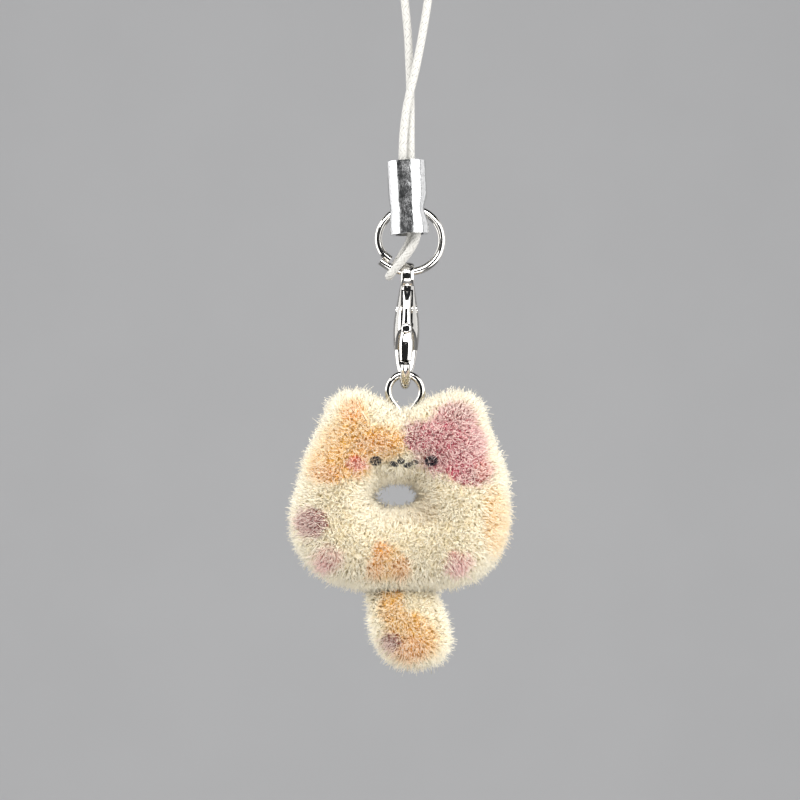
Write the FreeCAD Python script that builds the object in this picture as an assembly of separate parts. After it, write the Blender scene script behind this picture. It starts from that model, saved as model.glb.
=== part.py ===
import FreeCAD, Part
import math
import os

# A flocked calico cat charm in ring form, hung by a screw eye and a lobster
# clasp from an open jump ring, a crimped ferrule and a braided cord strap.
# Millimetres. +X is to the viewer's right, -Y is the cat's face, +Z is up.
# The origin is the inside top of the strap's loop, where a hook carries it.

V = FreeCAD.Vector

# Strap cord
cord_d = 0.8
cord_corner_share = 0.45

# Ferrule, a rolled aluminium tube crimped on the cord
ferrule_drop = 44.26
ferrule_x = 0.0
ferrule_len = 7.0
ferrule_od = 3.7
ferrule_bore = 2.7
ferrule_side_lean = 2.9
ferrule_front_lean = 3.5
crimp_depth = 0.42
crimp_above_mouth = 2.4
crimp_half_length = 0.75
crimp_half_angle = 38.0
crimp_left_share = 0.25

# Open jump ring
ring_wire_d = 0.75
ring_mean_r = 3.07
ring_x = 0.385
ring_foot_drop = 10.50
ring_lean = 6.0
ring_pitch = 0.30
ring_inner_end = 45.0
ring_outer_end = 54.0
ring_end_step = 0.42
ring_spiral_angle = 60.0
ring_to_ferrule_gap = 0.08

# Lobster clasp, seen on its edge
clasp_len = 12.26
clasp_x = 0.16
clasp_lean = 1.3
eye_width = 1.24
eye_bar = 0.50
eye_bore_r = 0.80
eye_seat_gap = 0.03
hook_bar = 1.09
hook_bend_r = 2.20
hook_foot_half_x = 0.48
body_max_half_x = 1.265
neck_half_x = 0.80
slot_half_x = 0.58
slot_top = 1.75
slot_back = 0.55
tip_gap = 0.06
lever_way_back = -1.30
lever_way_rise = 1.60

# Clasp lever, its rivet and its spring
lever_half_x = 0.465
lever_foot_half_x = 0.66
lever_reach = 5.25
pivot_y = -0.70
pivot_drop = 3.60
knob_r = 0.50
knob_drop = 5.50
knob_face_y = -2.75
rivet_d = 0.60
rivet_fit = 0.03
rivet_half_len = 1.00
rivet_chamfer = 0.08
spring_wire_d = 0.16
spring_coil_r = 0.46
spring_turns = 2
spring_leg = 1.30

# Screw eye in the head
screw_eye_wire_d = 0.72
screw_eye_od = 3.94
screw_eye_throat = 2.30
screw_eye_seat_gap = 0.04
shank_d = 1.00
shank_len = 4.20
shank_fit = 0.04

# Flocked ring body
body_r = 11.0
body_x = -0.20
dip_below_eye = 1.684
body_half_depth = 5.10
coat_t = 0.80
coat_to_shank_gap = 0.12
hole_half_w = 2.05
hole_half_h = 1.16
hole_x = -0.67
hole_z = -0.24

# Flocked tail
tail_x = 0.55
tail_top_rise = 1.304
tail_len = 8.85
tail_half_w = 3.95
tail_neck_half_w = 3.40
tail_half_depth = 2.75
tail_neck_half_depth = 2.30
tail_to_body_gap = 0.10
peg_d = 1.60
peg_fit = 0.05
peg_rise = 3.20

# Outline of the coat about the body's centre: angle from +X and share of body_r
BODY_OUTLINE = [
    (3, 0.923), (18, 0.918), (32, 0.918), (44, 1.009), (54, 1.064), (62, 1.023), (70, 0.918),
    (78, 0.814), (89, 0.736), (101, 0.814), (111, 0.959), (118, 1.032), (127, 1.041), (139, 0.941),
    (155, 0.914), (172, 0.918), (187, 0.986), (200, 1.045), (214, 1.059), (226, 1.032),
    (240, 0.964), (253, 0.900), (268, 0.864), (284, 0.882), (298, 0.936), (315, 1.018),
    (330, 1.009), (345, 0.968),
]
BODY_DIP_ANGLE = 89
BODY_FOOT_ANGLE = 268

# Soft bulges on the face side, in shares of body_r: x and z from the body's
# centre, height and spread
BODY_BULGES = [
    (0.400, -0.082, 0.0636, 0.136),
    (-0.409, -0.082, 0.0636, 0.136),
    (0.509, -0.545, 0.0727, 0.164),
    (-0.655, -0.518, 0.0682, 0.164),
    (-0.027, 0.255, 0.0273, 0.118),
]

BODY_ROWS = 48
BODY_COLUMNS = 20
RING_POLES = 12
WIRE_ROWS_PER_TURN = 36
FERRULE_RINGS = 15
FERRULE_POLES = 24

# The cord's route, from its end in the ferrule over the loop, down through the
# ferrule, round the jump ring and back into the ferrule
CORD_ROUTE = [
    (-0.22, -1.62, -47.6),
    (-0.62, -1.75, -41.4),
    (1.47, -1.40, -33.5),
    (3.40, -0.75, -19.5),
    (3.90, -0.35, -10.5),
    (3.30, -0.05, -3.2),
    (1.80, 0.00, 0.4),
    (-1.80, 0.00, 0.4),
    (-3.30, 0.03, -3.2),
    (-2.90, 0.00, -10.0),
    (-1.90, -0.15, -19.0),
    (0.02, -0.42, -28.6),
    (0.46, -0.66, -37.3),
    (0.42, -0.98, -44.0),
    (0.60, -1.50, -47.7),
    (0.69, -1.69, -49.0),
    (1.33, -2.33, -51.7),
    (-1.60, -0.67, -55.16),
    (-1.63, 0.30, -55.25),
    (-1.31, 0.86, -54.53),
    (0.86, -1.40, -51.23),
    (-0.17, -1.69, -48.9),
    (-0.22, -1.62, -47.75),
]


def rad(degrees):
    return math.radians(degrees)


def circle_factor(count):
    """Pole radius over curve radius for a uniform cubic loop of poles."""
    return 3.0 / (2.0 + math.cos(2.0 * math.pi / count))


def outward(solid):
    if solid.Volume < 0:
        solid.reverse()
    return solid


def loop_net_solid(rows):
    """A closed solid whose surface runs round in both directions."""
    count, width = len(rows), len(rows[0])
    surface = Part.BSplineSurface()
    surface.buildFromPolesMultsKnots(
        rows, [1] * (count + 1), [1] * (width + 1),
        list(range(count + 1)), list(range(width + 1)), True, True, 3, 3)
    return outward(Part.makeSolid(Part.makeShell([surface.toShape()])))


def tube_net_solid(rings):
    """A solid skinned over rings of poles, with a flat face at each end."""
    count, width = len(rings), len(rings[0])
    surface = Part.BSplineSurface()
    surface.buildFromPolesMultsKnots(
        rings, [4] + [1] * (count - 4) + [4], [1] * (width + 1),
        list(range(count - 2)), list(range(width + 1)), False, True, 3, 3)
    skin = surface.toShape()
    ends = [edge for edge in skin.Edges if edge.isClosed()]
    caps = [Part.Face(Part.Wire([edge])) for edge in ends]
    shell = Part.makeShell([skin] + caps)
    shell.sewShape()
    return outward(Part.makeSolid(shell))


def ring_of_poles(centre, side, up, half_side, half_up):
    """An ellipse of poles round a centre, in the plane of two directions."""
    grow = circle_factor(RING_POLES)
    turns = [2.0 * math.pi * k / RING_POLES for k in range(RING_POLES)]
    return [centre + side * (grow * half_side * math.cos(t)) + up * (grow * half_up * math.sin(t))
            for t in turns]


def wire_solid(path, binormals, diameter):
    """A round wire along path points, each with a direction across the path."""
    rings = []
    last = len(path) - 1
    for k, point in enumerate(path):
        along = (path[min(k + 1, last)] - path[max(k - 1, 0)]).normalize()
        across = binormals[k]
        side = along.cross(across).normalize()
        rings.append(ring_of_poles(point, side, side.cross(along), diameter / 2, diameter / 2))
    return tube_net_solid(rings)


def cylinder(diameter, start, end):
    along = end - start
    return Part.makeCylinder(diameter / 2, along.Length, start, along)


# Places that several pieces share

def ferrule_axis():
    """Top centre, mouth centre and downward direction of the ferrule."""
    down = V(math.tan(rad(ferrule_side_lean)), -math.tan(rad(ferrule_front_lean)), -1).normalize()
    ring_top_z = -ferrule_drop - ring_foot_drop + 2 * ring_mean_r * math.cos(rad(ring_lean))
    ring_top_y = 2 * ring_mean_r * math.sin(rad(ring_lean))
    back_y = ring_top_y - ring_wire_d / 2 - ring_to_ferrule_gap
    axis_y = back_y - ferrule_od / 2 / math.cos(rad(ferrule_front_lean))
    top_y = axis_y + (-ferrule_drop - ring_top_z) * math.tan(rad(ferrule_front_lean))
    top = V(ferrule_x, top_y, -ferrule_drop)
    return top, top + down * ferrule_len, down


def ring_up():
    return V(0, math.sin(rad(ring_lean)), math.cos(rad(ring_lean)))


def ring_normal():
    return V(0, math.cos(rad(ring_lean)), -math.sin(rad(ring_lean)))


def ring_centre():
    foot = V(ring_x, 0, -ferrule_drop - ring_foot_drop)
    return foot + ring_up() * ring_mean_r


def ring_point(sweep, stretch=1.0):
    """A point of the wire's centreline, sweep degrees on from the inner end."""
    total = 360.0 + ring_outer_end - ring_inner_end
    share = sweep / total
    step = -ring_end_step * max(0.0, 1 - sweep / ring_spiral_angle) ** 2
    step += ring_end_step * max(0.0, 1 - (total - sweep) / ring_spiral_angle) ** 2
    angle = rad(-ring_inner_end - sweep)
    radius = (ring_mean_r + step) * stretch
    flat = V(1, 0, 0) * (radius * math.sin(angle)) - ring_up() * (radius * math.cos(angle))
    return ring_centre() + flat + ring_normal() * (ring_pitch * (0.5 - share))


def ring_foot():
    """The wire's centreline where the clasp hangs on it."""
    total = 360.0 + ring_outer_end - ring_inner_end
    reach = math.degrees(math.asin((ring_x - clasp_x) / ring_mean_r))
    return ring_point(total - ring_outer_end + reach)


def clasp_place():
    """Turns the clasp's own frame, centred on the ring's wire, into place."""
    return FreeCAD.Placement(ring_foot(), FreeCAD.Rotation(V(0, 1, 0), clasp_lean))


def eye_centre_z():
    return ring_wire_d / 2 + eye_seat_gap - eye_bore_r


def clasp_foot_z():
    return eye_centre_z() + eye_bore_r + eye_bar - clasp_len


def hook_centre():
    """Centre of the hook's bend, in the clasp's own frame."""
    return V(0, 0, clasp_foot_z() + hook_bar / 2 + hook_bend_r)


def swing_centre():
    """Middle of the hook's bar at its foot, where the charm hangs."""
    return clasp_place().multVec(hook_centre() - V(0, 0, hook_bend_r))


def screw_eye_mean_r():
    return (screw_eye_od - screw_eye_wire_d) / 2


def screw_eye_centre():
    rise = hook_bar / 2 + screw_eye_seat_gap + screw_eye_wire_d / 2
    return swing_centre() + V(0, 0, rise - screw_eye_mean_r())


def body_centre():
    return screw_eye_centre() + V(body_x, 0, -dip_below_eye - outline_radius(BODY_DIP_ANGLE))


# Strap cord

def cord_arcs():
    """Straight runs joined by tangent arcs along the route, as edges."""
    points = [V(*p) for p in CORD_ROUTE]
    edges, radii = [], []
    start = points[0]
    for before, corner, after in zip(points, points[1:], points[2:]):
        into = (corner - before).normalize()
        out = (after - corner).normalize()
        half_turn = into.getAngle(out) / 2
        shorter = min((corner - before).Length, (after - corner).Length)
        cut = cord_corner_share * shorter
        radius = cut / math.tan(half_turn)
        first, last = corner - into * cut, corner + out * cut
        towards = (out - into).normalize()
        middle = corner + towards * (radius / math.cos(half_turn) - radius)
        edges.append(Part.LineSegment(start, first).toShape())
        edges.append(Part.Arc(first, middle, last).toShape())
        radii.append(round(radius, 2))
        start = last
    edges.append(Part.LineSegment(start, points[-1]).toShape())
    return edges, radii


def strap_cord():
    edges, radii = cord_arcs()
    path = Part.Wire(edges)
    start = V(*CORD_ROUTE[0])
    direction = V(*CORD_ROUTE[1]) - start
    section = Part.Wire([Part.makeCircle(cord_d / 2, start, direction)])
    tube = path.makePipeShell([section], True, False)
    expected = math.pi * cord_d ** 2 / 4 * path.Length
    print("cord length", round(path.Length, 2), "radii", radii)
    print("cord volume", round(tube.Volume, 3), "expected", round(expected, 3))
    return tube


# Ferrule

def ferrule_skin(diameter):
    """The tube's outer or inner surface, pressed in at its two sides."""
    top, mouth, down = ferrule_axis()
    side = V(1, 0, 0) - down * down.x
    side.normalize()
    front = down.cross(side)
    grow = circle_factor(FERRULE_POLES)
    rings = []
    for k in range(FERRULE_RINGS):
        drop = ferrule_len * k / (FERRULE_RINGS - 1)
        lift = ferrule_len - drop - crimp_above_mouth
        press = math.exp(-(lift / crimp_half_length) ** 2)
        ring = []
        for j in range(FERRULE_POLES):
            turn = 2.0 * math.pi * j / FERRULE_POLES
            off_side = math.degrees(math.asin(abs(math.sin(turn))))
            dent = crimp_depth * press * math.exp(-(off_side / crimp_half_angle) ** 2)
            if math.cos(turn) < 0:
                dent *= crimp_left_share
            radius = grow * diameter / 2 - dent
            ring.append(top + down * drop + side * (radius * math.cos(turn))
                        + front * (radius * math.sin(turn)))
        rings.append(ring)
    return tube_net_solid(rings)


def ferrule():
    return ferrule_skin(ferrule_od).cut(ferrule_skin(ferrule_bore))


# Jump ring

def jump_ring():
    total = 360.0 + ring_outer_end - ring_inner_end
    rows = int(WIRE_ROWS_PER_TURN * total / 360.0) + 1
    stretch = circle_factor(WIRE_ROWS_PER_TURN)
    path = [ring_point(total * k / (rows - 1), stretch) for k in range(rows)]
    return wire_solid(path, [ring_normal()] * rows, ring_wire_d)


# Clasp body

def eye_ring():
    """The eye at the clasp's head, a rounded band about the X axis."""
    middle_r = eye_bore_r + eye_bar / 2
    section = Part.Ellipse(V(0, 0, eye_centre_z() + middle_r), eye_width / 2, eye_bar / 2)
    flat = Part.Face(Part.Wire([section.toShape()]))
    flat.rotate(V(0, 0, eye_centre_z() + middle_r), V(1, 0, 0), 90)
    return outward(flat.revolve(V(0, 0, eye_centre_z()), V(1, 0, 0), 360))


def clasp_section(y, z, half_x, half_depth, tilt=0.0):
    """A rounded cross-section; tilt turns it from level, in degrees."""
    across = V(0, math.cos(rad(tilt)), math.sin(rad(tilt)))
    return ring_of_poles(V(0, y, z), V(1, 0, 0), across, half_x, half_depth)


def clasp_block():
    """The part of the body that holds the lever, from the neck to the bend."""
    top = eye_centre_z() - eye_bore_r
    low = hook_centre().z
    back = hook_bend_r + hook_bar / 2
    wide = (neck_half_x + body_max_half_x) / 2
    return tube_net_solid([
        clasp_section(0, top + 0.35, 0.50, 0.60),
        clasp_section(0, top - 0.15, neck_half_x * 0.92, 1.00),
        clasp_section(0, top - 0.90, neck_half_x, 1.45),
        clasp_section(0.10, top - 2.10, wide, 1.90),
        clasp_section(0.20, (top + low) / 2, body_max_half_x, back - 0.65),
        clasp_section(0.45, low + 2.60, body_max_half_x, back - 0.75),
        clasp_section(1.25, low + 1.75, body_max_half_x * 0.97, 1.25),
        clasp_section(1.80, low + 1.10, body_max_half_x * 0.90, 0.80),
    ])


def clasp_hook():
    """The claw, tapering down the back, round the foot and up to its tip."""
    low = hook_centre().z
    rings = [clasp_section(1.55, low + 2.40, body_max_half_x * 0.95, 0.75, 8),
             clasp_section(2.02, low + 1.10, body_max_half_x * 0.88, 0.66, 3)]
    for turn in (0, 25, 50, 75, 90, 105, 130, 155, 172):
        fade = math.sin(rad(min(turn, 90)))
        half_x = body_max_half_x * 0.78 * (1 - fade) + hook_foot_half_x * fade
        y = hook_bend_r * math.cos(rad(turn))
        z = low - hook_bend_r * math.sin(rad(turn))
        rings.append(clasp_section(y, z, half_x, hook_bar / 2, -turn))
    return tube_net_solid(rings)


def pivot():
    return V(0, pivot_y, -pivot_drop)


def across_x(diameter, half_length, centre):
    return cylinder(diameter, centre - V(half_length, 0, 0), centre + V(half_length, 0, 0))


def clasp_body():
    body = eye_ring().fuse([clasp_block(), clasp_hook()])
    slot_foot = hook_centre().z + 1.2
    slot = Part.makeBox(2 * slot_half_x, 3.5, -slot_top - slot_foot,
                        V(-slot_half_x, slot_back - 3.5, slot_foot))
    swept = across_x(2 * (lever_reach + tip_gap), body_max_half_x * 2, pivot())
    reach = 2 * lever_reach
    corner = V(-reach / 2, lever_way_back - reach, hook_centre().z + lever_way_rise - reach)
    front = Part.makeBox(reach, reach, reach, corner)
    bore = across_x(rivet_d + 2 * rivet_fit, body_max_half_x * 2, pivot())
    return body.cut([slot, swept.common(front), bore])


# Lever, rivet and spring

def lever_arm():
    foot = -pivot_drop - lever_reach - 0.5
    return tube_net_solid([
        clasp_section(-0.85, -slot_top - 0.15, lever_half_x * 0.9, 0.28),
        clasp_section(-1.00, -slot_top - 0.55, lever_half_x, 0.42),
        clasp_section(-1.10, -pivot_drop + 0.7, lever_half_x, 0.62),
        clasp_section(-1.20, -pivot_drop - 0.1, lever_half_x, 0.80),
        clasp_section(-1.45, -pivot_drop - 1.2, lever_half_x, 0.55),
        clasp_section(-1.70, -knob_drop - 0.2, lever_half_x, 0.45),
        clasp_section(-1.98, -knob_drop - 1.1, lever_foot_half_x, 0.42),
        clasp_section(-2.15, foot + 2.0, lever_foot_half_x, 0.40),
        clasp_section(-2.22, foot + 1.0, lever_foot_half_x * 0.9, 0.40),
        clasp_section(-2.22, foot, hook_foot_half_x, 0.40),
    ])


def clasp_lever():
    knob_root = V(0, -1.6, -knob_drop)
    knob = cylinder(2 * knob_r, knob_root, V(0, knob_face_y, -knob_drop))
    rim = [edge for edge in knob.Edges if abs(edge.CenterOfMass.y - knob_face_y) < 0.01]
    knob = knob.makeFillet(knob_r * 0.5, rim)
    swing = across_x(2 * lever_reach, body_max_half_x * 2, pivot())
    lever = lever_arm().fuse(knob).common(swing)
    bore = across_x(rivet_d + 2 * rivet_fit, body_max_half_x * 2, pivot())
    pocket_r = spring_coil_r + spring_wire_d
    pocket_half = spring_turns * spring_wire_d * 0.6 + 0.04
    pocket = across_x(2 * pocket_r, pocket_half, pivot())
    back = Part.makeBox(2 * pocket_half, 2, 2 * pocket_r,
                        V(-pocket_half, pivot_y, -pivot_drop - pocket_r))
    leg_way = Part.makeBox(2 * pocket_half, 2, spring_leg + 0.4,
                           V(-pocket_half, pivot_y + spring_coil_r - spring_wire_d,
                             -pivot_drop - spring_leg - 0.4))
    return lever.cut([bore, pocket, back, leg_way])


def clasp_rivet():
    """A pin whose ends are set flush with the clasp's sides."""
    pin = across_x(rivet_d, rivet_half_len, pivot())
    rims = [edge for edge in pin.Edges if abs(abs(edge.CenterOfMass.x) - rivet_half_len) < 0.01]
    return pin.makeChamfer(rivet_chamfer, [edge for edge in rims if edge.isClosed()])


def clasp_spring():
    """A small torsion spring on the rivet, with a leg down the lever."""
    coil = []
    pitch = spring_wire_d * 1.2
    first = -pitch * (spring_turns - 1) / 2
    for k in range(spring_turns):
        middle = pivot() + V(first + pitch * k, 0, 0)
        coil.append(Part.makeTorus(spring_coil_r, spring_wire_d / 2, middle, V(1, 0, 0)))
    leg_y = pivot_y + spring_coil_r
    leg = cylinder(spring_wire_d, V(0, leg_y, -pivot_drop), V(0, leg_y, -pivot_drop - spring_leg))
    return coil[0].fuse(coil[1:] + [leg])


# Screw eye

def screw_eye():
    centre = screw_eye_centre()
    mean_r = screw_eye_mean_r()
    stretch = circle_factor(24)
    half_open = 130
    path = []
    for k in range(19):
        angle = rad(-half_open + 2 * half_open * k / 18)
        path.append(V(mean_r * stretch * math.sin(angle), 0, mean_r * stretch * math.cos(angle)))
    neck = V(screw_eye_wire_d * 0.38, 0, -screw_eye_throat)
    half_way = (path[-1] + neck) * 0.5
    path = [V(-neck.x, 0, neck.z), V(-half_way.x, 0, half_way.z)] + path + [half_way, neck]
    path = [centre + point for point in path]
    loop = wire_solid(path, [V(0, 1, 0)] * len(path), screw_eye_wire_d)
    top = centre + V(0, 0, -screw_eye_throat + screw_eye_wire_d * 0.4)
    shank = cylinder(shank_d, top, top - V(0, 0, shank_len))
    tip = Part.makeCone(shank_d / 2, 0.1, shank_d, top - V(0, 0, shank_len), V(0, 0, -1))
    return loop.fuse([shank, tip])


def shank_way(clearance):
    """The round way that the screw eye's shank takes through a piece."""
    top = screw_eye_centre()
    foot = top - V(0, 0, screw_eye_throat + shank_len + shank_d + 0.1)
    return cylinder(shank_d + 2 * clearance, top, foot)


def neck_way(clearance):
    """The wider way that the eye's two wires take into the head."""
    centre = screw_eye_centre()
    foot = centre - V(0, 0, screw_eye_throat + screw_eye_wire_d / 2 + clearance)
    top = centre - V(0, 0, screw_eye_mean_r() / 2)
    width = 2.1 * screw_eye_wire_d + 2 * clearance
    spread = 2 * screw_eye_mean_r() + screw_eye_wire_d + 2 * clearance
    lower = ring_of_poles(foot, V(1, 0, 0), V(0, 1, 0), width / 2, screw_eye_wire_d / 2 + clearance)
    upper = ring_of_poles(top, V(1, 0, 0), V(0, 1, 0), spread / 2, screw_eye_wire_d / 2 + clearance)
    rings = []
    for k in range(4):
        rings.append([a * (1 - k / 3) + b * (k / 3) for a, b in zip(lower, upper)])
    return tube_net_solid(rings)


# Flocked body

def outline_radius(degrees):
    """Radius of the coat's outline, smooth through the listed points."""
    count = len(BODY_OUTLINE)
    degrees = degrees % 360
    index = max([k for k in range(count) if BODY_OUTLINE[k][0] <= degrees], default=count - 1)
    ring = []
    for offset in (-1, 0, 1, 2):
        turns, place = divmod(index + offset, count)
        angle, share = BODY_OUTLINE[place]
        ring.append((angle + 360 * turns, share * body_r))
    if degrees < BODY_OUTLINE[0][0]:
        degrees += 360
    (a0, r0), (a1, r1), (a2, r2), (a3, r3) = ring
    share = (degrees - a1) / (a2 - a1)
    slope1 = (r2 - r0) / (a2 - a0) * (a2 - a1)
    slope2 = (r3 - r1) / (a3 - a1) * (a2 - a1)
    cube, square = share ** 3, share ** 2
    return ((2 * cube - 3 * square + 1) * r1 + (cube - 2 * square + share) * slope1
            + (3 * square - 2 * cube) * r2 + (cube - square) * slope2)


def bulge_height(x, z):
    total = 0.0
    for bulge_x, bulge_z, height, spread in BODY_BULGES:
        away = (x / body_r - bulge_x) ** 2 + (z / body_r - bulge_z) ** 2
        total += height * math.exp(-away / (2 * spread ** 2))
    return total * body_r


def body_form(inset):
    """The cat's ring body, its whole surface drawn in by the inset."""
    grow = circle_factor(BODY_COLUMNS)
    centre = body_centre()
    rows = []
    for i in range(BODY_ROWS):
        degrees = 360.0 * i / BODY_ROWS
        cos_t, sin_t = math.cos(rad(degrees)), math.sin(rad(degrees))
        radius = outline_radius(degrees) - inset
        outer = V(radius * cos_t, 0, radius * sin_t)
        inner = V(hole_x + (hole_half_w + inset) * cos_t, 0, hole_z + (hole_half_h + inset) * sin_t)
        middle, reach = (outer + inner) * 0.5, (outer - inner) * 0.5
        row = []
        for j in range(BODY_COLUMNS):
            turn = 2.0 * math.pi * j / BODY_COLUMNS
            flat = middle + reach * (grow * math.cos(turn))
            depth = grow * (body_half_depth - inset) * math.sin(turn)
            bulge = bulge_height(flat.x, flat.z) * max(0.0, math.sin(turn))
            row.append(centre + V(flat.x, -depth - bulge, flat.z))
        rows.append(row)
    return loop_net_solid(rows)


def tail_top():
    """Height of the tail's top over the body's centre, from the body's lowest edge."""
    return tail_top_rise - outline_radius(BODY_FOOT_ANGLE)


def tail_form(inset):
    """The tail, a plump drop that hangs below the body."""
    centre = body_centre()
    neck_w, neck_depth = tail_neck_half_w - inset, tail_neck_half_depth - inset
    full_w, full_depth = tail_half_w - inset, tail_half_depth - inset
    top, foot = tail_top(), tail_top() - tail_len + inset
    span = top - foot
    profile = [
        (0.00, tail_x - 0.90, 1.00, 0.0), (0.12, tail_x - 0.80, 1.00, 0.1),
        (0.26, tail_x - 0.50, 1.00, 0.4), (0.42, tail_x - 0.15, 1.00, 0.8),
        (0.58, tail_x + 0.15, 1.00, 1.0), (0.74, tail_x + 0.40, 0.95, 1.0),
        (0.88, tail_x + 0.50, 0.78, 1.0), (0.97, tail_x + 0.50, 0.50, 1.0),
        (1.00, tail_x + 0.50, 0.05, 1.0),
    ]
    rings = []
    for share, x, scale, fullness in profile:
        half_w = scale * (neck_w + (full_w - neck_w) * fullness)
        half_depth = scale * (neck_depth + (full_depth - neck_depth) * fullness)
        place = centre + V(x, 0, top - span * share)
        rings.append(ring_of_poles(place, V(1, 0, 0), V(0, 1, 0), half_w, half_depth))
    return tube_net_solid(rings)


def peg(clearance):
    foot = body_centre() + V(tail_x - 0.7, 0, tail_top() - 2.0)
    top = body_centre() + V(tail_x - 0.7, 0, tail_top() + peg_rise + clearance)
    return cylinder(peg_d + 2 * clearance, foot, top)


def body_halves():
    """The moulded core, split at its widest plane into two glued halves."""
    core = body_form(coat_t).cut([shank_way(shank_fit), neck_way(shank_fit), peg(peg_fit)])
    centre = body_centre()
    reach = 2 * body_r
    front_box = Part.makeBox(2 * reach, reach, 2 * reach, centre - V(reach, reach, reach))
    back_box = Part.makeBox(2 * reach, reach, 2 * reach, centre - V(reach, 0, reach))
    return core.common(front_box), core.common(back_box)


def body_coat():
    shell = body_form(0).cut(body_form(coat_t))
    return shell.cut([shank_way(coat_to_shank_gap), neck_way(coat_to_shank_gap), peg(peg_fit)])


def tail_pieces():
    """The tail's core with its peg, and the coat round it."""
    body_room = body_form(-tail_to_body_gap)
    inner = tail_form(coat_t).cut(body_room)
    core = inner.fuse(peg(0))
    coat = tail_form(0).cut([body_room, tail_form(coat_t), peg(peg_fit)])
    return core, coat


def export(name, shape):
    """Checks a piece and writes it to a file of its own."""
    solids = shape.Solids
    print(name, "solids", len(solids), "volume", round(shape.Volume, 3), "valid", shape.isValid())
    piece = solids[0] if len(solids) == 1 else Part.makeCompound(solids)
    piece.exportStep("parts/" + name + ".step")


def main():
    os.makedirs("parts", exist_ok=True)
    export("strap_cord", strap_cord())
    export("ferrule", ferrule())
    export("jump_ring", jump_ring())
    place = clasp_place()
    for name, piece in (("clasp_body", clasp_body()), ("clasp_lever", clasp_lever()),
                        ("clasp_rivet", clasp_rivet()), ("clasp_spring", clasp_spring())):
        piece.Placement = place.multiply(piece.Placement)
        export(name, piece)
    export("screw_eye", screw_eye())
    front, back = body_halves()
    export("body_core_front", front)
    export("body_core_back", back)
    export("body_coat", body_coat())
    tail_core, tail_coat = tail_pieces()
    export("tail_core", tail_core)
    export("tail_coat", tail_coat)
    print("ring foot", ring_foot(), "swing centre", swing_centre(), "body centre", body_centre())
    print("pivot", place.multVec(pivot()), "ferrule", ferrule_axis())


main()
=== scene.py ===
import logging
import math
from dataclasses import dataclass, field
from enum import Enum
from typing import Any, Optional

import bmesh
import bpy
import numpy as np
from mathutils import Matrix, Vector
from mathutils.bvhtree import BVHTree
from mathutils.kdtree import KDTree


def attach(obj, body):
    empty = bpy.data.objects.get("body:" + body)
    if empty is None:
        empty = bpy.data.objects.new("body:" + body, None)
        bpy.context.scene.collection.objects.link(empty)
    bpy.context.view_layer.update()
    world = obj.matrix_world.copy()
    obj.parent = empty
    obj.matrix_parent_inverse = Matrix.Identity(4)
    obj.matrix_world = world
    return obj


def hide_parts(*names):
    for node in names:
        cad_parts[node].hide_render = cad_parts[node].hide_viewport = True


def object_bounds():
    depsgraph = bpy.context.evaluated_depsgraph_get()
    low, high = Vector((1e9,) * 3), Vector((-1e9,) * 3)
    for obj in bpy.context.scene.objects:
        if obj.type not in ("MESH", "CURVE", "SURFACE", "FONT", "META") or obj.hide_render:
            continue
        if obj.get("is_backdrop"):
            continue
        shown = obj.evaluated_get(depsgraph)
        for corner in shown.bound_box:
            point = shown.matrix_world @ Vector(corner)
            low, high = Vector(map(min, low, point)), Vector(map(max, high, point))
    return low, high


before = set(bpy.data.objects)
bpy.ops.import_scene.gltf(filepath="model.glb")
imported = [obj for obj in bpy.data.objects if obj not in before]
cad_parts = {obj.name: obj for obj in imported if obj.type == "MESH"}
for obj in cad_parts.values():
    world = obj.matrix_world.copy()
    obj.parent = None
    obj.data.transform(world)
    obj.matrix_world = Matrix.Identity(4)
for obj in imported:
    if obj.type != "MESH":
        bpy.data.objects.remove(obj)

LOG = logging.getLogger("charm")
MM = 0.001
Triple = tuple[float, float, float]
Colour = tuple[float, float, float, float]

# The picture's camera: its place in metres and how wide it sees, in degrees
CAMERA_PLACE: Triple = (-0.000577, -0.350, -0.06708)
CAMERA_ANGLE = 12.54

# The cat's middle, from which its painted pattern is measured, in metres
CAT_CENTRE: Triple = (-0.000286, -0.000109, -0.076005)

# The cord's route, from its end in the ferrule over the loop, round the ring
# and back into the ferrule, in metres
CORD_ROUTE = [
    (-0.00022, -0.00162, -0.0476),
    (-0.00062, -0.00175, -0.0414),
    (0.00147, -0.00140, -0.0335),
    (0.00340, -0.00075, -0.0195),
    (0.00390, -0.00035, -0.0105),
    (0.00330, -0.00005, -0.0032),
    (0.00180, 0.0, 0.0004),
    (-0.00180, 0.0, 0.0004),
    (-0.00330, 0.00003, -0.0032),
    (-0.00290, 0.0, -0.0100),
    (-0.00190, -0.00015, -0.0190),
    (0.00002, -0.00042, -0.0286),
    (0.00046, -0.00066, -0.0373),
    (0.00042, -0.00098, -0.0440),
    (0.00060, -0.00150, -0.0477),
    (0.00069, -0.00169, -0.0490),
    (0.00133, -0.00233, -0.0517),
    (-0.00160, -0.00067, -0.05516),
    (-0.00163, 0.00030, -0.05525),
    (-0.00131, 0.00086, -0.05453),
    (0.00086, -0.00140, -0.05123),
    (-0.00017, -0.00169, -0.0489),
    (-0.00022, -0.00162, -0.04775),
]
CORD_DIAMETER = 0.0008


def srgb(red: float, green: float, blue: float) -> Colour:
    """Turns a colour as it is seen into the one that nodes take.

    Args:
        red: its red, 0 to 255.
        green: its green.
        blue: its blue.

    Returns:
        The linear colour with a full alpha.
    """
    def linear(value: float) -> float:
        """Turns one channel."""
        share = value / 255.0
        return share / 12.92 if share <= 0.04045 else ((share + 0.055) / 1.055) ** 2.4
    return (linear(red), linear(green), linear(blue), 1.0)


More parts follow.
